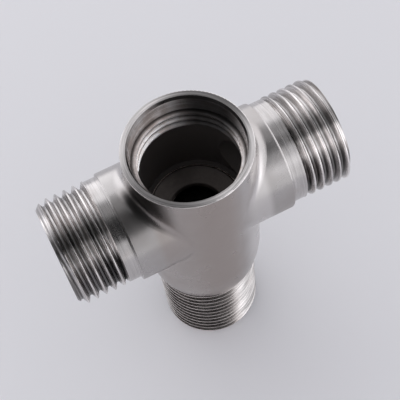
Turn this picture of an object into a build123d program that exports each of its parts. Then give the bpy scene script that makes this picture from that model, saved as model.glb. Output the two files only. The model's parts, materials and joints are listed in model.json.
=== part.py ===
from build123d import *
import math
import os

# Three-way stainless valve body, standing on its lower shank. Millimetres.
# Origin: centre of the lower shank's end face. +Z up the barrel, +X towards the right arm.

# Overall places
RIM_Z = 65.5                # mouth rim above the shank's end face
ARM_Z = 49.6                # axis of the two arms
ARM_END = 28.4              # arm end face from the barrel axis
BOSS_FACE = 15.8            # where a boss ends and its collar begins
BARREL_END_Z = 22.4         # underside of the barrel, where the shank leaves it

# Barrel and bosses, outside
BARREL_R = 12.0
BARREL_END_R = 10.65
BARREL_TAPER = 9.0          # height of the long rounding at the barrel's lower end
BOSS_R = 10.9
BOSS_DROP = 0.3             # the cast bosses sit a little below the turned arm axis
BOSS_EDGE = 0.15
BLEND_R = 2.4               # casting fillet between barrel and boss
RIM_EDGE = 0.2
END_EDGE = 0.3

# Pipe thread G 1/2: 55 degree form, 14 turns per inch
PITCH = 25.4 / 14
THREAD_DEPTH = 1.162
FLANK_SLOPE = math.tan(math.radians(27.5))
CREST_R = 10.45             # male crest, inside the standard's tolerance below 10.4775
ROOT_R = CREST_R - THREAD_DEPTH
MALE_LAND = 0.24
LEAD_R = 9.6                # plain lead ring ahead of the first turn
LEAD_LENGTH = 1.9           # end face to the middle of the first crest
RUN_OUT = 0.1

# Mouth, from the rim down
MOUTH_CHAMFER_R = 10.91
MOUTH_CHAMFER = 0.9
COUNTERBORE_R = 10.55
COUNTERBORE_DEPTH = 3.95
FEMALE_MINOR_R = 9.45
FEMALE_MAJOR_R = 10.5
FEMALE_LAND = 0.34
FEMALE_CRESTS = 3
FIRST_FEMALE_CREST = 4.15   # rim to the middle of the first female crest

# Chamber, ports and seat
CHAMBER_R = 10.2
CHAMBER_RELIEF = 0.5        # cone between the last female crest and the chamber wall
CHAMBER_FLOOR_Z = 43.3
PORT_R = 6.0
SEAT_R = 9.2
SEAT_THICKNESS = 3.3
SEAT_LIP = 0.45             # flat ring around the dished face
SEAT_DISH = 1.0
ORIFICE_R = 5.04
ORIFICE_CHAMFER = 0.35
LOWER_BORE_R = 8.4
PRESS_GAP = 0.05            # radial gap around the pressed-in pieces

# Threaded tubes: two arm nipples and the lower shank
TUBE_BORE_R = 7.0
SPIGOT_R = 9.0
COLLAR_R = 10.25
BORE_CHAMFER = 0.45
END_CHAMFER = 0.3
SOCKET_END_GAP = 0.1
ARM_SPIGOT = 3.7
ARM_COLLAR = 2.0
ARM_TURNS = 5
SHANK_SPIGOT = 7.5
SHANK_COLLAR = 0.75
SHANK_TURNS = 11

# Weld seams: a ring that fills the chamfer at the foot of each collar
SEAM_SIZE = 0.25
SEAM_BULGE = 0.05


def turned(outline):
    """A solid of revolution about Z from (radius, height) points."""
    return revolve(Plane.XZ * make_face(Polyline(*outline, close=True)), Axis.Z)


def on_arm(piece, side):
    """Lay a piece that was built upwards from its shoulder against the boss of the given side."""
    return Pos(side * BOSS_FACE, 0, ARM_Z) * Rot(0, 90 * side, 0) * piece


def under_barrel(piece):
    """Hang a piece that was built upwards from its shoulder under the barrel's end."""
    return Pos(0, 0, BARREL_END_Z) * Rot(180, 0, 0) * piece


def ridge(middle, land, crest_r, root_r):
    """One thread turn, as (radius, height) points from one foot over the crest to the other foot."""
    foot = land / 2 + abs(crest_r - root_r) * FLANK_SLOPE
    return [
        (root_r, middle - foot),
        (crest_r, middle - land / 2),
        (crest_r, middle + land / 2),
        (root_r, middle + foot),
    ]


def threaded_tube(length, spigot, collar, turns):
    """Spigot, collar, male thread and through bore. Height 0 is the shoulder that meets the casting."""
    crests = [length - LEAD_LENGTH - turn * PITCH for turn in reversed(range(turns))]
    half_ridge = MALE_LAND / 2 + THREAD_DEPTH * FLANK_SLOPE
    outline = [
        (TUBE_BORE_R, -spigot),
        (SPIGOT_R, -spigot),
        (SPIGOT_R, 0),
        (COLLAR_R - SEAM_SIZE, 0),
        (COLLAR_R, SEAM_SIZE),
        (COLLAR_R, collar),
        (ROOT_R, crests[0] - half_ridge - RUN_OUT),
    ]
    for middle in crests:
        outline += ridge(middle, MALE_LAND, CREST_R, ROOT_R)
    outline += [
        (LEAD_R, crests[-1] + half_ridge + RUN_OUT),
        (LEAD_R, length - END_CHAMFER),
        (LEAD_R - END_CHAMFER, length),
        (TUBE_BORE_R + BORE_CHAMFER, length),
        (TUBE_BORE_R, length - BORE_CHAMFER),
    ]
    return turned(outline)


def weld_seam():
    """The ring in the corner between a collar and the casting's face at height 0."""
    return turned([
        (COLLAR_R - SEAM_SIZE, 0),
        (COLLAR_R + SEAM_BULGE, 0),
        (COLLAR_R, SEAM_SIZE),
    ])


def barrel():
    """The barrel's outside: straight above, with one long rounding down to the narrower lower end."""
    foot = Line((0, BARREL_END_Z), (BARREL_END_R, BARREL_END_Z))
    wall = Line((BARREL_R, BARREL_END_Z + BARREL_TAPER), (BARREL_R, RIM_Z))
    taper = TangentArc(wall @ 0, foot @ 1, tangent=(0, -1))
    top = Line((BARREL_R, RIM_Z), (0, RIM_Z))
    axis = Line((0, RIM_Z), (0, BARREL_END_Z))
    solid = revolve(Plane.XZ * make_face([foot, taper, wall, top, axis]), Axis.Z)
    ends = solid.edges().filter_by(GeomType.CIRCLE).sort_by(Axis.Z)
    solid = fillet(ends[-1], RIM_EDGE)
    ends = solid.edges().filter_by(GeomType.CIRCLE).sort_by(Axis.Z)
    return fillet(ends[0], END_EDGE)


def bosses():
    """One bar through the barrel that leaves a boss on each side."""
    bar = Pos(0, 0, ARM_Z - BOSS_DROP) * Rot(0, 90, 0) * Cylinder(BOSS_R, 2 * BOSS_FACE)
    return fillet(bar.edges().filter_by(GeomType.CIRCLE), BOSS_EDGE)


def mouth_and_chamber():
    """Everything that is bored out from above, down to the shank's socket."""
    outline = [
        (0, RIM_Z + 1),
        (MOUTH_CHAMFER_R, RIM_Z + 1),
        (MOUTH_CHAMFER_R, RIM_Z),
        (COUNTERBORE_R, RIM_Z - MOUTH_CHAMFER),
        (COUNTERBORE_R, RIM_Z - COUNTERBORE_DEPTH),
    ]
    thread = []
    for turn in range(FEMALE_CRESTS):
        middle = RIM_Z - FIRST_FEMALE_CREST - turn * PITCH
        thread += reversed(ridge(middle, FEMALE_LAND, FEMALE_MINOR_R, FEMALE_MAJOR_R))
    # The counterbore stands in for the first crest's upper flank, the relief for the last one's lower flank
    outline += thread[1:-1]
    relief_z = middle - FEMALE_LAND / 2 - CHAMBER_RELIEF
    outline += [
        (CHAMBER_R, relief_z),
        (CHAMBER_R, CHAMBER_FLOOR_Z),
        (SEAT_R + PRESS_GAP, CHAMBER_FLOOR_Z),
        (SEAT_R + PRESS_GAP, CHAMBER_FLOOR_Z - SEAT_THICKNESS),
        (LOWER_BORE_R, CHAMBER_FLOOR_Z - SEAT_THICKNESS),
        (LOWER_BORE_R, BARREL_END_Z + SHANK_SPIGOT + SOCKET_END_GAP),
        (SPIGOT_R + PRESS_GAP, BARREL_END_Z + SHANK_SPIGOT + SOCKET_END_GAP),
        (SPIGOT_R + PRESS_GAP, BARREL_END_Z - 1),
        (0, BARREL_END_Z - 1),
    ]
    return turned(outline)


def arm_bores():
    """The water port through both bosses, and the socket in each for its nipple's spigot."""
    cut = Pos(0, 0, ARM_Z) * Rot(0, 90, 0) * Cylinder(PORT_R, 2 * BOSS_FACE + 2)
    depth = ARM_SPIGOT + SOCKET_END_GAP
    socket = Pos(0, 0, (1 - depth) / 2) * Cylinder(SPIGOT_R + PRESS_GAP, depth + 1)
    for side in (-1, 1):
        cut += on_arm(socket, side)
    return cut


def valve_body():
    """The casting: barrel and bosses blended together, then bored."""
    outside = barrel() + bosses()
    creases = [
        edge for edge in outside.edges()
        if abs(edge.center().X) < BOSS_FACE - 2
        and BARREL_END_Z + BARREL_TAPER + 1 < edge.center().Z < RIM_Z - 2
        and edge.geom_type != GeomType.LINE
    ]
    outside = fillet(creases, BLEND_R)
    return outside - mouth_and_chamber() - arm_bores()


def valve_seat():
    """The insert in the chamber floor, dished towards a chamfered orifice."""
    top = CHAMBER_FLOOR_Z
    foot = top - SEAT_THICKNESS
    return turned([
        (ORIFICE_R, foot),
        (SEAT_R, foot),
        (SEAT_R, top),
        (SEAT_R - SEAT_LIP, top),
        (ORIFICE_R + ORIFICE_CHAMFER, top - SEAT_DISH),
        (ORIFICE_R, top - SEAT_DISH - ORIFICE_CHAMFER),
    ])


def all_parts():
    nipple = threaded_tube(ARM_END - BOSS_FACE, ARM_SPIGOT, ARM_COLLAR, ARM_TURNS)
    shank = threaded_tube(BARREL_END_Z, SHANK_SPIGOT, SHANK_COLLAR, SHANK_TURNS)
    return {
        "valve_body": valve_body(),
        "valve_seat": valve_seat(),
        "left_nipple": on_arm(nipple, -1),
        "right_nipple": on_arm(nipple, 1),
        "lower_shank": under_barrel(shank),
        "left_weld_seam": on_arm(weld_seam(), -1),
        "right_weld_seam": on_arm(weld_seam(), 1),
        "shank_weld_seam": under_barrel(weld_seam()),
    }


os.makedirs("parts", exist_ok=True)
for name, solid in all_parts().items():
    solid.label = name
    export_step(solid, f"parts/{name}.step")
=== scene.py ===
import json
import math

import bmesh
import bpy
import numpy as np
from mathutils import Matrix, Quaternion, Vector


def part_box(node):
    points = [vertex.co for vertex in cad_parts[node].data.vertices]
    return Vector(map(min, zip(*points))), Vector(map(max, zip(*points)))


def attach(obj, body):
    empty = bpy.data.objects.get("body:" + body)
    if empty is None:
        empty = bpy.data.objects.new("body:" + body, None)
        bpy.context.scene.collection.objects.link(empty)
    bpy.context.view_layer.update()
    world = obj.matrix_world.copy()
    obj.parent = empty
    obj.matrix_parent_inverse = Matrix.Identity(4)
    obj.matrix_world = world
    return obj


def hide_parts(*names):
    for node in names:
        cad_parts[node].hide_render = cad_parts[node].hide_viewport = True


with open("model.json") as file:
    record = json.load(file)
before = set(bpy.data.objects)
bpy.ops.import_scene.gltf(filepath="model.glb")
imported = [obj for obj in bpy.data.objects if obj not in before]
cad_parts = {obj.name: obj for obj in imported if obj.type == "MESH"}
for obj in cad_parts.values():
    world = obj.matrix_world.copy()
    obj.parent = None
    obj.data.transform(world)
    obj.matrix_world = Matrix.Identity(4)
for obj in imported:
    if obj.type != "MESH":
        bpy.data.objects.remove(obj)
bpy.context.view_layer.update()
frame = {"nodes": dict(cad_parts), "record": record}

# A three-way stainless valve body on a pale studio floor. Metres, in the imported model's frame.

mounts = {mount["name"]: mount for mount in frame["record"]["mounts"]}
MM = 0.001


def mount_radius(name):
    """Radius of a round mount, in metres."""
    return mounts[name]["dims"]["r_mm"] * MM


# Places and sizes that come from the frame
RIM_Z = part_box("valve_body")[1].z
BARREL_END_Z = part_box("shank_weld_seam")[1].z
BOSS_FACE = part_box("right_weld_seam")[0].x
ARM_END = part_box("right_nipple")[1].x
ARM_Z = mounts["right_thread"]["pos_m"][2]
ARM_SPIGOT = BOSS_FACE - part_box("right_nipple")[0].x
SHANK_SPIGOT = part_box("lower_shank")[1].z - BARREL_END_Z
SEAM_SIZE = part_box("right_weld_seam")[1].x - BOSS_FACE
SEAT_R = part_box("valve_seat")[1].x
CREST_R = mount_radius("right_thread")
COLLAR_R = mount_radius("right_collar")
TUBE_BORE_R = mount_radius("right_waterway")

# Places and sizes inside the fitting that the frame doesn't give
SPIGOT_R = 9.0 * MM
MOUTH_R = 10.91 * MM        # where the mouth's chamfer meets the rim
CHAMBER_TOP_Z = RIM_Z - 8.6 * MM
COUNTERBORE_Z = RIM_Z - 3.95 * MM
ORIFICE_R = 5.04 * MM

# Pipe thread G 1/2: 55 degree form, 14 turns per inch, right hand
PITCH = 25.4 / 14 * MM
THREAD_DEPTH = 1.162 * MM
FLANK_SLOPE = math.tan(math.radians(27.5))
ROOT_R = CREST_R - THREAD_DEPTH
CREST_HALF = 0.12 * MM      # half the width of a crest's flat
EDGE_ROUND = 0.05 * MM

# Tube ends
BORE_CHAMFER = 0.45 * MM
COLLAR_RUN = 0.6            # length over height where the collar falls away into the first thread root
CREST_RUN = 0.7             # length over height where the first crest rises from the collar
LEFT_COLLAR = 2.5 * MM
RIGHT_COLLAR = 2.95 * MM
SHANK_COLLAR = 0.75 * MM

COLUMNS = 192               # faces around a tube
ANGLES = np.arange(COLUMNS) * 2 * math.pi / COLUMNS
CREASE = math.radians(32)   # edges sharper than this stay sharp


# Threaded tubes ------------------------------------------------------------------------------

def thread_profile():
    """One thread turn, as (height along the axis, radius) rows from mid root to mid root."""
    flank_top = CREST_HALF + EDGE_ROUND / 2
    flank_low = CREST_HALF + THREAD_DEPTH * FLANK_SLOPE
    top = (flank_top, CREST_R - EDGE_ROUND)
    foot = (flank_low - EDGE_ROUND / 2, ROOT_R + EDGE_ROUND)
    half = [(share * CREST_HALF, CREST_R) for share in (0.0, 0.33, 0.67)]
    half.append((CREST_HALF, CREST_R - 0.3 * EDGE_ROUND))
    for share in (0.0, 0.25, 0.5, 0.75, 1.0):
        half.append((top[0] + share * (foot[0] - top[0]), top[1] + share * (foot[1] - top[1])))
    half += [
        (flank_low, ROOT_R + 0.3 * EDGE_ROUND),
        (flank_low + EDGE_ROUND, ROOT_R),
        (PITCH / 2, ROOT_R),
    ]
    mirrored = [(-height, radius) for height, radius in reversed(half[1:-1])]
    return mirrored + half


def with_ends(height, radius, length, collar, end_r):
    """Thread radii once the collar is added and the 45 degree lead chamfer is cut down to end_r."""
    lead = end_r + (length - height)
    past_collar = np.maximum(0, height - collar)
    first_crest = COLLAR_R + past_collar / CREST_RUN
    collar_foot = COLLAR_R - past_collar / COLLAR_RUN
    return np.maximum(np.minimum(np.minimum(radius, lead), first_crest), collar_foot)


def thread_grid(turn, length, collar, end_r, crest_at_zero):
    """Heights and radii of the threaded stretch: a row per profile point, a column per angle.

    Each row climbs with the angle and meets, after a whole turn, the row one turn further up.
    """
    first = math.floor((collar - crest_at_zero) / PITCH) - 1
    last = math.ceil((length - crest_at_zero) / PITCH) + 1
    turns = range(first, last + 1)
    row_height = np.array([crest_at_zero + count * PITCH + offset for count in turns for offset, _ in turn])
    row_radius = np.array([radius for _ in turns for _, radius in turn])
    climb = PITCH * ANGLES / (2 * math.pi)
    height = row_height[:, None] + climb[None, :]
    radius = np.repeat(row_radius[:, None], COLUMNS, axis=1)

    # Points past an end are pulled back to it and take the radius that the thread has there
    kept_height = np.clip(height, collar, length)
    turns_up = (kept_height - crest_at_zero - climb) / PITCH
    from_crest = (turns_up - np.floor(turns_up + 0.5)) * PITCH
    profile_height = np.array([-PITCH / 2] + [offset for offset, _ in turn])
    profile_radius = np.array([ROOT_R] + [r for _, r in turn])
    end_radius = np.interp(from_crest, profile_height, profile_radius)
    radius = np.where(height != kept_height, end_radius, radius)
    return kept_height, with_ends(kept_height, radius, length, collar, end_r)


def threaded_tube(name, length, spigot, collar, end_r, crest_at_zero):
    """A tube with a right-hand helical thread; height 0 is the shoulder.

    crest_at_zero is the height of one crest at angle 0, and end_r the radius of the end face.
    """
    turn = thread_profile()
    grid_height, grid_radius = thread_grid(turn, length, collar, end_r, crest_at_zero)
    # Plain rings, as (radius, height): bore and spigot below the thread, and the bore's chamfer above it
    before = [
        (TUBE_BORE_R, -spigot),
        (SPIGOT_R, -spigot),
        (SPIGOT_R, 0),
        (COLLAR_R - SEAM_SIZE, 0),
        (COLLAR_R, SEAM_SIZE),
    ]
    after = [
        (TUBE_BORE_R + BORE_CHAMFER, length),
        (TUBE_BORE_R, length - BORE_CHAMFER),
    ]

    def plain(rings, part):
        return [np.full(COLUMNS, ring[part]) for ring in rings]

    radius = np.vstack([*plain(before, 0), *grid_radius, *plain(after, 0)])
    height = np.vstack([*plain(before, 1), *grid_height, *plain(after, 1)])
    points = np.stack([radius * np.cos(ANGLES), radius * np.sin(ANGLES), height], axis=-1)

    rings = len(radius)
    first_thread_ring = len(before)
    last_thread_ring = rings - len(after) - 1

    def ring_vertex(ring, column):
        return ring * COLUMNS + column % COLUMNS

    def thread_vertex(ring, column):
        """Past the last column a helical row goes on as the row one turn further."""
        if column == COLUMNS:
            ring, column = min(ring + len(turn), last_thread_ring), 0
        return ring * COLUMNS + column

    faces = []
    for low in range(rings):
        high = (low + 1) % rings
        vertex = thread_vertex if first_thread_ring <= low < last_thread_ring else ring_vertex
        for column in range(COLUMNS):
            faces.append((vertex(low, column), vertex(low, column + 1),
                          vertex(high, column + 1), vertex(high, column)))
    return finished_mesh(name, points.reshape(-1, 3).tolist(), faces)


def finished_mesh(name, verts, faces):
    """An object from raw vertices and faces: merged, smooth, and sharp along its creases."""
    mesh = bpy.data.meshes.new(name)
    mesh.from_pydata(verts, [], faces)
    work = bmesh.new()
    work.from_mesh(mesh)
    bmesh.ops.remove_doubles(work, verts=work.verts, dist=1e-7)
    bmesh.ops.dissolve_degenerate(work, edges=work.edges, dist=1e-8)
    bmesh.ops.recalc_face_normals(work, faces=work.faces)
    work.to_mesh(mesh)
    work.free()
    mesh.shade_smooth()
    mesh.set_sharp_from_angle(angle=CREASE)
    obj = bpy.data.objects.new(name, mesh)
    bpy.context.scene.collection.objects.link(obj)
    return obj


def on_arm(side):
    """From a tube's own axis to the arm on the given side; its angle 0 points down."""
    return Matrix.Translation((side * BOSS_FACE, 0, ARM_Z)) @ Matrix.Rotation(side * math.pi / 2, 4, "Y")


def under_barrel():
    """From a tube's own axis to the shank, which points down."""
    return Matrix.Translation((0, 0, BARREL_END_Z)) @ Matrix.Rotation(math.pi, 4, "X")


# Node graphs ---------------------------------------------------------------------------------

class Graph:
    """A material's node tree, built with one call per node."""

    def __init__(self, name):
        self.material = bpy.data.materials.new(name)
        self.material.use_nodes = True
        self.tree = self.material.node_tree
        self.tree.nodes.clear()
        self.shader = self.tree.nodes.new("ShaderNodeBsdfPrincipled")
        output = self.tree.nodes.new("ShaderNodeOutputMaterial")
        self.tree.links.new(self.shader.outputs[0], output.inputs[0])

    def put(self, socket, value):
        """Link a socket into another, or set its value."""
        if isinstance(value, bpy.types.NodeSocket):
            self.tree.links.new(value, socket)
        else:
            socket.default_value = value

    def set(self, node, **values):
        """Put values on a node's inputs, named with underscores for spaces."""
        for name, value in values.items():
            self.put(node.inputs[name.replace("_", " ")], value)

    def math(self, operation, *values):
        node = self.tree.nodes.new("ShaderNodeMath")
        node.operation = operation
        for socket, value in zip(node.inputs, values):
            self.put(socket, value)
        return node.outputs[0]

    def plus(self, a, b):
        return self.math("ADD", a, b)

    def minus(self, a, b):
        return self.math("SUBTRACT", a, b)

    def times(self, first, *others):
        product = first
        for value in others:
            product = self.math("MULTIPLY", product, value)
        return product

    def position(self):
        """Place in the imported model's frame, in millimetres, as a vector and as three numbers."""
        coords = self.tree.nodes.new("ShaderNodeTexCoord")
        place = self.scaled(coords.outputs["Object"], 1 / MM)
        split = self.tree.nodes.new("ShaderNodeSeparateXYZ")
        self.put(split.inputs[0], place)
        return place, split.outputs

    def vector(self, x, y, z):
        node = self.tree.nodes.new("ShaderNodeCombineXYZ")
        for socket, value in zip(node.inputs, (x, y, z)):
            self.put(socket, value)
        return node.outputs[0]

    def scaled(self, vector, factor):
        """A vector or a colour times a number."""
        node = self.tree.nodes.new("ShaderNodeVectorMath")
        node.operation = "SCALE"
        self.put(node.inputs[0], vector)
        self.put(node.inputs["Scale"], factor)
        return node.outputs[0]

    def noise(self, vector, scale, detail, rough):
        node = self.tree.nodes.new("ShaderNodeTexNoise")
        self.set(node, Vector=vector, Scale=scale, Detail=detail, Roughness=rough)
        return node.outputs[0]

    def ramp(self, value, low, high, to_low=0.0, to_high=1.0, smooth=True):
        """to_low where value is low or less, to_high where it is high or more, and a slope between."""
        node = self.tree.nodes.new("ShaderNodeMapRange")
        node.interpolation_type = "SMOOTHSTEP" if smooth else "LINEAR"
        for socket, item in zip(node.inputs, (value, low, high, to_low, to_high)):
            self.put(socket, item)
        return node.outputs[0]

    def mix(self, share, a, b):
        """Colour a, and colour b where share is 1."""
        node = self.tree.nodes.new("ShaderNodeMix")
        node.data_type = "RGBA"
        sockets = [socket for socket in node.inputs if socket.enabled]
        for socket, value in zip(sockets, (share, a, b)):
            self.put(socket, value)
        return [socket for socket in node.outputs if socket.enabled][0]

    def toward(self, share, a, b):
        """Number a, and number b where share is 1."""
        return self.plus(a, self.times(share, self.minus(b, a)))

    def banded(self, degrees, plain, bands):
        """A value around an axis: plain, and changed within each named band of angles."""
        value = plain
        for _, centre, full, faded, tone in bands:
            offset = self.math("ABSOLUTE", self.minus(degrees, centre))
            value = self.toward(self.ramp(offset, full, faded, 1.0, 0.0), value, tone)
        return value

    def bump(self, height, strength, distance, normal=None):
        node = self.tree.nodes.new("ShaderNodeBump")
        self.set(node, Height=height, Strength=strength, Distance=distance)
        if normal is not None:
            self.put(node.inputs["Normal"], normal)
        return node.outputs[0]


def steel(tone):
    """Stainless steel's slightly warm grey."""
    return (1.04 * tone, 1.0 * tone, 0.985 * tone, 1.0)


def brown(tone):
    """A warm, brownish grey."""
    return (1.14 * tone, 1.0 * tone, 0.93 * tone, 1.0)


def distance_from_axis(graph, a, b):
    return graph.math("SQRT", graph.plus(graph.times(a, a), graph.times(b, b)))


def lathe_lines(graph, depth, a, b):
    """Coordinates that change with depth but hardly around the axis, so that noise on them makes rings."""
    return graph.vector(depth, graph.times(a, 0.03), graph.times(b, 0.03))


# Turned steel --------------------------------------------------------------------------------

TURNED_TONE = 0.46

# Painted reflections: bands along the threads, which stay where they are in any view:
# name, centre, full out to, faded by (degrees), tone against plain steel
PLAIN_ARM_TONE = 1.05
ARM_BANDS = [               # from the front towards the top
    ("light_upper_front", 52, 6, 17, 1.5),
    ("dark_below_top", 71, 4, 12, 0.72),
    ("light_top", 97, 5, 20, 1.4),
]
PLAIN_SHANK_TONE = 1.0
SHANK_BANDS = [             # from the front towards the right
    ("light_left", -52, 26, 42, 1.7),
    ("light_front", 0, 16, 34, 1.4),
    ("dark_right", 48, 8, 28, 0.85),
]


def threaded_stretch(graph, axis, along):
    """1 along a tube's thread and 0 on its collar."""
    if axis == "Z":
        thread_top = BARREL_END_Z / MM - 0.8
        return graph.ramp(along, thread_top - 0.3, thread_top, 1.0, 0.0)
    left_end = (BOSS_FACE + LEFT_COLLAR) / MM
    right_end = (BOSS_FACE + RIGHT_COLLAR) / MM
    collar_end = graph.ramp(along, -1.0, 1.0, left_end, right_end)
    return graph.ramp(graph.minus(graph.math("ABSOLUTE", along), collar_end), -0.1, 0.3)


def arm_thread_tone(graph, base, along, up, radius, root):
    """Below the arm's top, painted shade in the roots, most of all near the body, and painted highlights on
    the crests.
    """
    below_top = graph.ramp(up, 4.0, 6.5, 1.0, 0.0)
    near_body = graph.ramp(graph.math("ABSOLUTE", along), ARM_END / MM - 7.5, ARM_END / MM - 4.0, 1.0, 0.0)
    painted_root_shade = graph.plus(graph.times(below_top, graph.ramp(near_body, 0, 1, 0.5, 0.8)), 0.12)
    base = graph.mix(graph.times(root, painted_root_shade), base, steel(0.02))
    crest = graph.ramp(radius, CREST_R / MM - 0.25, CREST_R / MM - 0.1)
    painted_crest_highlight = graph.times(crest, graph.ramp(below_top, 0, 1, 0.1, 0.45))
    return graph.scaled(base, graph.plus(painted_crest_highlight, 1.0))


def turned_steel(name, axis, dull=0.0):
    """Lathe-turned stainless: fine rings about the axis, painted reflection bands on the thread, a bore
    painted dark as shade.
    """
    graph = Graph(name)
    position, (x, y, z) = graph.position()
    front = graph.times(y, -1.0)
    if axis == "X":
        along, across, up = x, y, graph.minus(z, ARM_Z / MM)
        degrees = graph.math("DEGREES", graph.math("ARCTAN2", up, front))
        tones = graph.banded(degrees, PLAIN_ARM_TONE, ARM_BANDS)
    else:
        along, across, up = z, x, y
        degrees = graph.math("DEGREES", graph.math("ARCTAN2", x, front))
        tones = graph.banded(degrees, PLAIN_SHANK_TONE, SHANK_BANDS)
    radius = distance_from_axis(graph, across, up)
    lines = lathe_lines(graph, graph.plus(along, radius), across, up)
    fine = graph.noise(lines, 3.4, 3.0, 0.65)
    coarse = graph.noise(lines, 1.4, 2.0, 0.5)
    stain = graph.noise(position, 0.3, 3.0, 0.55)
    streak = graph.plus(graph.times(fine, 0.6), graph.times(coarse, 0.4))
    threaded = threaded_stretch(graph, axis, along)
    crestward = graph.ramp(radius, ROOT_R / MM + 0.1, CREST_R / MM - 0.25)
    root = graph.times(graph.minus(1.0, crestward), threaded)

    contrast = graph.ramp(streak, 0.4, 0.6, -0.36, 0.3)
    contrast = graph.times(contrast, graph.ramp(threaded, 0, 1, 0.35, 1.0))
    base = graph.scaled(steel(TURNED_TONE)[:3], graph.plus(contrast, 1.0))
    if axis == "X":
        base = arm_thread_tone(graph, base, along, up, radius, root)
    else:
        # Painted warm reflection on the front of the shank
        warm_front_reflection = graph.times(graph.ramp(x, 0.0, 4.5, 0.5, 0.0), graph.ramp(y, -5.0, 3.0, 1.0, 0.0))
        base = graph.mix(warm_front_reflection, base, brown(TURNED_TONE))
    # Painted reflections: the bands' tones along the thread
    base = graph.scaled(base, graph.toward(threaded, 1.0, tones))
    base = graph.mix(graph.ramp(stain, 0.5, 0.75, 0.0, 0.3), base, brown(TURNED_TONE * 0.75))
    # Painted shade: the bore is dark brown
    bore_shade = graph.ramp(radius, TUBE_BORE_R / MM + 0.1, TUBE_BORE_R / MM + 0.2, 1.0, 0.0)
    base = graph.mix(bore_shade, base, brown(0.1))

    rough = graph.plus(graph.ramp(fine, 0.25, 0.75, 0.17, 0.3, smooth=False), dull)
    rough = graph.plus(rough, graph.times(root, 0.1))
    normal = graph.bump(streak, 0.35, 0.04 * MM)
    graph.set(graph.shader, Base_Color=base, Roughness=rough, Normal=normal, Metallic=1.0)
    return graph.material


# Cast body -----------------------------------------------------------------------------------

# From the front towards the right; the turned rim and mouth carry a painted sheen, brightest this way and
# opposite
SHINE_AZIMUTH = math.radians(40)


def outside_tone(graph, blotch, x, y, z):
    """The satin casting: blotched grey, and painted reflections of the studio."""
    warm_blotch = (0.41, 0.385, 0.375, 1.0)
    base = graph.mix(graph.ramp(blotch, 0.35, 0.68), steel(0.43), warm_blotch)
    # Painted warm reflection on the front of the barrel, weaker to the left
    on_barrel = graph.ramp(graph.math("ABSOLUTE", x), 10.3, 12.0, 1.0, 0.0)
    left_of_pale_reflection = graph.ramp(x, 1.5, 6.5, 1.0, 0.0)
    in_front = graph.ramp(y, -5.0, 3.0, 1.0, 0.0)
    weaker_left = graph.ramp(x, -8.0, -1.5, 0.6, 1.0)
    base = graph.mix(graph.times(on_barrel, left_of_pale_reflection, in_front, weaker_left), base, brown(0.335))
    # Painted pale reflection on the right side of the barrel
    base = graph.mix(graph.times(on_barrel, graph.ramp(x, 4.0, 8.0)), base, steel(0.58))
    # Painted dark reflection in the upper front corner between the barrel and the left boss
    across_corner = graph.times(graph.ramp(x, -9.5, -6.5, 1.0, 0.0), graph.ramp(x, -14.5, -12.5))
    dark_corner_reflection = graph.times(across_corner, graph.ramp(y, -2.5, 1.0, 1.0, 0.0), graph.ramp(z, 57.0, 60.5))
    return graph.mix(graph.times(dark_corner_reflection, 0.6), base, brown(0.02))


def painted_turned_sheen(graph, x, y, radius):
    """Painted sheen of a turned face: 1 where it looks along SHINE_AZIMUTH or opposite to it, 0 halfway
    between.
    """
    reach = graph.minus(graph.times(x, math.sin(SHINE_AZIMUTH)), graph.times(y, math.cos(SHINE_AZIMUTH)))
    cosine = graph.math("DIVIDE", reach, radius)
    return graph.times(cosine, cosine)


def rim_finish(graph, z, radius, rings, shine):
    """Where the rim is, where the painted highlight on its edge is, and its colour with a painted sheen."""
    rim_z = RIM_Z / MM
    mouth_r = MOUTH_R / MM
    rim = graph.times(graph.ramp(z, rim_z - 0.25, rim_z - 0.2), graph.ramp(radius, mouth_r - 0.1, mouth_r))
    tone = graph.mix(graph.ramp(rings, 0.38, 0.62), steel(0.75), steel(1.2))
    # Painted sheen: lighter where the rim faces along SHINE_AZIMUTH or opposite
    tone = graph.scaled(tone, graph.ramp(shine, 0.0, 0.9, 0.17, 0.6))
    # Painted highlight on the rim's outer edge where the painted sheen is weak
    edge = graph.times(rim, graph.ramp(z, rim_z - 0.04, rim_z - 0.01, 1.0, 0.0),
                       graph.ramp(shine, 0.35, 0.6, 1.0, 0.0))
    return rim, edge, graph.mix(edge, tone, steel(0.85))


def mouth_finish(graph, x, y, z, radius, rings, shine):
    """Where the mouth is, from its chamfer to the thread's foot, and its colour with painted sheen and
    painted shade.
    """
    rim_z = RIM_Z / MM
    mouth_r = MOUTH_R / MM
    chamber_top = CHAMBER_TOP_Z / MM
    counterbore_z = COUNTERBORE_Z / MM
    mouth = graph.times(graph.ramp(radius, mouth_r - 0.04, mouth_r, 1.0, 0.0),
                        graph.ramp(z, chamber_top, chamber_top + 0.3))
    patches = graph.noise(graph.vector(x, y, graph.times(z, 0.35)), 0.55, 3.0, 0.6)
    streaks = graph.plus(graph.times(rings, 0.6), graph.times(patches, 0.4))
    tone = graph.mix(graph.ramp(streaks, 0.4, 0.6), brown(0.55), steel(1.0))
    # Painted shade in the roots of the mouth's thread
    groove_shade = graph.times(graph.ramp(z, counterbore_z, counterbore_z + 0.05, 1.0, 0.0),
                         graph.ramp(radius, 9.7, 10.3))
    tone = graph.mix(groove_shade, tone, brown(0.08))
    # Painted sheen on the wall and the chamfer, strongest along SHINE_AZIMUTH, more so in the thread
    in_thread = graph.ramp(z, counterbore_z - 0.1, counterbore_z, 1.0, 0.0)
    wall_shine = graph.ramp(shine, 0.05, 0.75, 0.06, 0.95)
    wall_shine = graph.times(wall_shine, graph.plus(1.0, graph.times(in_thread, 0.35)))
    on_chamfer = graph.ramp(z, rim_z - 0.8, rim_z - 0.7)
    chamfer_shine = graph.ramp(shine, 0.55, 1.0, 0.03, 0.7)
    return mouth, graph.scaled(tone, graph.toward(on_chamfer, wall_shine, chamfer_shine))


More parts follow.
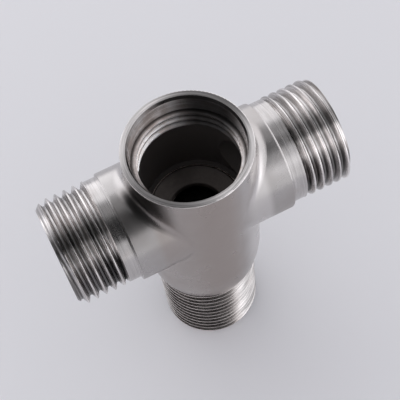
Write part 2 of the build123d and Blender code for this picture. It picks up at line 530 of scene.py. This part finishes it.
def inner_faces(graph, y, z, radius):
    """Where the chamber and the ports are."""
    chamber_top = CHAMBER_TOP_Z / MM
    port_radius = distance_from_axis(graph, y, graph.minus(z, ARM_Z / MM))
    chamber = graph.times(graph.ramp(radius, 10.3, 10.4, 1.0, 0.0),
                          graph.ramp(z, chamber_top, chamber_top + 0.3, 1.0, 0.0))
    return graph.math("MAXIMUM", chamber, graph.ramp(port_radius, 9.2, 9.3, 1.0, 0.0))


def cast_steel(name):
    """The casting: satin outside, turned rim and mouth, dull skin painted dark as shade in the chamber and
    the ports.
    """
    graph = Graph(name)
    position, (x, y, z) = graph.position()
    radius = distance_from_axis(graph, x, y)
    blotch = graph.noise(position, 0.13, 3.0, 0.5)
    pores = graph.noise(position, 4.5, 3.0, 0.6)
    wave = graph.noise(position, 0.4, 2.0, 0.5)
    rings = graph.noise(lathe_lines(graph, graph.plus(z, radius), x, y), 3.0, 3.0, 0.6)
    shine = painted_turned_sheen(graph, x, y, radius)
    rim, edge, rim_tone = rim_finish(graph, z, radius, rings, shine)
    mouth, mouth_tone = mouth_finish(graph, x, y, z, radius, rings, shine)
    inner = inner_faces(graph, y, z, radius)

    base = outside_tone(graph, blotch, x, y, z)
    base = graph.mix(rim, base, rim_tone)
    base = graph.mix(mouth, base, mouth_tone)
    # Painted shade: the chamber and the ports are dark brown
    base = graph.mix(inner, base, brown(0.065))

    rough = graph.ramp(blotch, 0.3, 0.7, 0.26, 0.33)
    for place, extra in ((rim, 0.14), (edge, 0.3), (inner, 0.25)):
        rough = graph.plus(rough, graph.times(place, extra))
    metallic = graph.minus(1.0, graph.times(inner, 0.75))
    metallic = graph.minus(metallic, graph.times(mouth, 0.55))

    ringed = graph.times(graph.math("MAXIMUM", rim, mouth), graph.minus(rings, 0.5))
    normal = graph.bump(wave, 0.1, 0.2 * MM)
    normal = graph.bump(pores, 0.04, 0.02 * MM, normal)
    normal = graph.bump(ringed, 0.8, 0.06 * MM, normal)
    graph.set(graph.shader, Base_Color=base, Roughness=rough, Normal=normal, Metallic=metallic)
    return graph.material


def seat_steel(name):
    """The pressed-in seat: dull and brown, with a bright line just inside its edge, and painted shade at its
    orifice.
    """
    graph = Graph(name)
    position, (x, y, _) = graph.position()
    radius = distance_from_axis(graph, x, y)
    stain = graph.noise(position, 0.4, 3.0, 0.55)
    rings = graph.noise(lathe_lines(graph, radius, x, y), 3.0, 2.0, 0.5)
    edge = SEAT_R / MM
    orifice = ORIFICE_R / MM
    base = graph.mix(graph.ramp(stain, 0.35, 0.65), brown(0.09), brown(0.13))
    base = graph.mix(graph.ramp(rings, 0.5, 0.7, 0.0, 0.4), base, brown(0.1))
    base = graph.mix(graph.ramp(radius, edge - 0.22, edge - 0.16), base, brown(0.75))
    # Painted shade in and around the orifice
    base = graph.mix(graph.ramp(radius, orifice + 0.35, orifice + 0.6, 1.0, 0.0), base, brown(0.06))
    rough = graph.ramp(stain, 0.3, 0.7, 0.34, 0.46)
    normal = graph.bump(rings, 0.4, 0.03 * MM)
    graph.set(graph.shader, Base_Color=base, Roughness=rough, Normal=normal, Metallic=1.0)
    return graph.material


# The fitting ---------------------------------------------------------------------------------

def replace_tube(node, tube, matrix, material):
    """Move a tube's mesh into place and let it stand for the CAD node, with its object at the origin."""
    tube.data.transform(matrix)
    tube.data.materials.append(material)
    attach(tube, "root")
    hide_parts(node)


def dress(node, material):
    """Give a CAD node that stays its finished material."""
    for slot in frame["nodes"][node].material_slots:
        slot.material = material


# Side, node, collar length, radius of the end face, end face to the first crest at angle 0
ARMS = [
    (-1, "left_nipple", LEFT_COLLAR, 9.13 * MM, 1.08 * MM),
    (1, "right_nipple", RIGHT_COLLAR, 10.0 * MM, 0.32 * MM),
]
SHANK_END_R = 9.5 * MM
SHANK_FIRST_CREST = 1.9 * MM

arm_length = ARM_END - BOSS_FACE
arm_steel = turned_steel("turned_steel_arm", "X")
for side, node, collar, end_r, first_crest in ARMS:
    arm = threaded_tube(node + "_threaded", arm_length, ARM_SPIGOT, collar, end_r, arm_length - first_crest)
    replace_tube(node, arm, on_arm(side), arm_steel)

shank = threaded_tube("lower_shank_threaded", BARREL_END_Z, SHANK_SPIGOT, SHANK_COLLAR, SHANK_END_R,
                      BARREL_END_Z - SHANK_FIRST_CREST)
replace_tube("lower_shank", shank, under_barrel(), turned_steel("turned_steel_shank", "Z"))

arm_weld = turned_steel("weld_steel_arm", "X", dull=0.1)
dress("valve_body", cast_steel("cast_steel_body"))
dress("valve_seat", seat_steel("seat_steel"))
dress("left_weld_seam", arm_weld)
dress("right_weld_seam", arm_weld)
dress("shank_weld_seam", turned_steel("weld_steel_shank", "Z", dull=0.1))


# Studio --------------------------------------------------------------------------------------

FLOOR_HALF = 3.0
MIDDLE = (0, 0, 0.045)

LIGHT_AT = (-0.08, 0.35, 0.38)
LIGHT_SIZE = 0.45
LIGHT_WATTS = 0.32
WORLD_STRENGTH = 0.825

TENT_RADIUS = 0.3
TENT_CENTRE_Z = 0.04
TENT_BASE = 1.42
# What the steel reflects: name, azimuth, elevation, full out to, faded by (degrees), brightness
TENT_PATCHES = [
    ("back_left_window", -150, 4, 20, 45, 1.95),
    ("right_window", 112, 30, 10, 32, 1.7),
    ("front_wall", 8, 5, 14, 32, 0.95),
    ("front_right_window", 52, 8, 14, 34, 2.1),
    ("grey_ceiling", 150, 80, 15, 27, 0.4),
    ("dark_front_left", -62, 30, 34, 64, 0.03),
    ("dark_camera", -9, 57, 16, 23, 0.03),
    ("dark_overhead", 28, 74, 9, 17, 0.03),
]


def floor():
    mesh = bpy.data.meshes.new("floor")
    corners = [(-1, -1), (1, -1), (1, 1), (-1, 1)]
    mesh.from_pydata([(x * FLOOR_HALF, y * FLOOR_HALF, 0) for x, y in corners], [], [(0, 1, 2, 3)])
    graph = Graph("studio_floor")
    graph.set(graph.shader, Base_Color=(0.78, 0.775, 0.79, 1.0), Roughness=0.8, Metallic=0.0)
    mesh.materials.append(graph.material)
    obj = bpy.data.objects.new("floor", mesh)
    bpy.context.scene.collection.objects.link(obj)


def aim(obj, place_at, target):
    """Put a light or camera at a place and turn it to look at the target."""
    obj.location = place_at
    obj.rotation_mode = "QUATERNION"
    obj.rotation_quaternion = (Vector(target) - Vector(place_at)).to_track_quat("-Z", "Y")


def overhead_light():
    """A soft light above and behind the fitting; reflections see the tent in its place."""
    light = bpy.data.lights.new("overhead_back", "AREA")
    light.shape = "RECTANGLE"
    light.size = LIGHT_SIZE
    light.size_y = LIGHT_SIZE
    light.energy = LIGHT_WATTS
    obj = bpy.data.objects.new("overhead_back", light)
    bpy.context.scene.collection.objects.link(obj)
    aim(obj, LIGHT_AT, MIDDLE)
    obj.visible_glossy = False


def pale_world():
    world = bpy.data.worlds.new("studio")
    bpy.context.scene.world = world
    world.use_nodes = True
    background = world.node_tree.nodes["Background"]
    background.inputs["Color"].default_value = (0.95, 0.95, 1.0, 1)
    background.inputs["Strength"].default_value = WORLD_STRENGTH


def direction(azimuth, elevation):
    """Unit vector; azimuth 0 is towards the front (-Y) and 90 is towards the right (+X), in degrees."""
    a, e = math.radians(azimuth), math.radians(elevation)
    return (math.sin(a) * math.cos(e), -math.cos(a) * math.cos(e), math.sin(e))


def tent_brightness(graph):
    """The base brightness, changed in each patch by the angle from the patch's middle."""
    coords = graph.tree.nodes.new("ShaderNodeTexCoord")
    unit = graph.tree.nodes.new("ShaderNodeVectorMath")
    unit.operation = "NORMALIZE"
    graph.put(unit.inputs[0], coords.outputs["Object"])
    brightness = TENT_BASE
    for _, azimuth, elevation, full, faded, patch_brightness in TENT_PATCHES:
        dot = graph.tree.nodes.new("ShaderNodeVectorMath")
        dot.operation = "DOT_PRODUCT"
        graph.put(dot.inputs[0], unit.outputs[0])
        graph.put(dot.inputs[1], direction(azimuth, elevation))
        share = graph.ramp(dot.outputs["Value"], math.cos(math.radians(faded)), math.cos(math.radians(full)))
        brightness = graph.toward(share, brightness, patch_brightness)
    return brightness


def reflection_tent():
    """A large dome that only reflections see: bright walls, and dark patches ahead and overhead."""
    mesh = bpy.data.meshes.new("reflection_tent")
    work = bmesh.new()
    bmesh.ops.create_uvsphere(work, u_segments=48, v_segments=24, radius=TENT_RADIUS)
    bmesh.ops.translate(work, verts=work.verts, vec=(0, 0, TENT_CENTRE_Z))
    work.to_mesh(mesh)
    work.free()
    graph = Graph("reflection_tent")
    graph.set(graph.shader, Base_Color=(0, 0, 0, 1), Specular_IOR_Level=0.0, Roughness=1.0,
              Emission_Color=(0.97, 0.97, 1.0, 1.0), Emission_Strength=tent_brightness(graph))
    graph.material.cycles.emission_sampling = "NONE"
    mesh.materials.append(graph.material)
    obj = bpy.data.objects.new("reflection_tent", mesh)
    bpy.context.scene.collection.objects.link(obj)
    obj.visible_camera = False
    obj.visible_shadow = False
    obj.visible_diffuse = False


floor()
reflection_tent()
pale_world()
overhead_light()


# Camera --------------------------------------------------------------------------------------

CAMERA_AT = (-0.027266, -0.083712, 0.211133)
CAMERA_AIM = (-0.000049, -0.002649, 0.05)
CAMERA_ROLL = math.radians(-9.127)
LENS = 87.617

camera_data = bpy.data.cameras.new("camera")
camera_data.lens = LENS
camera_data.clip_start = 0.01
camera = bpy.data.objects.new("camera", camera_data)
bpy.context.scene.collection.objects.link(camera)
aim(camera, CAMERA_AT, CAMERA_AIM)
camera.rotation_quaternion = camera.rotation_quaternion @ Quaternion((0, 0, 1), CAMERA_ROLL)
bpy.context.scene.camera = camera
bpy.context.scene.view_settings.view_transform = "Standard"
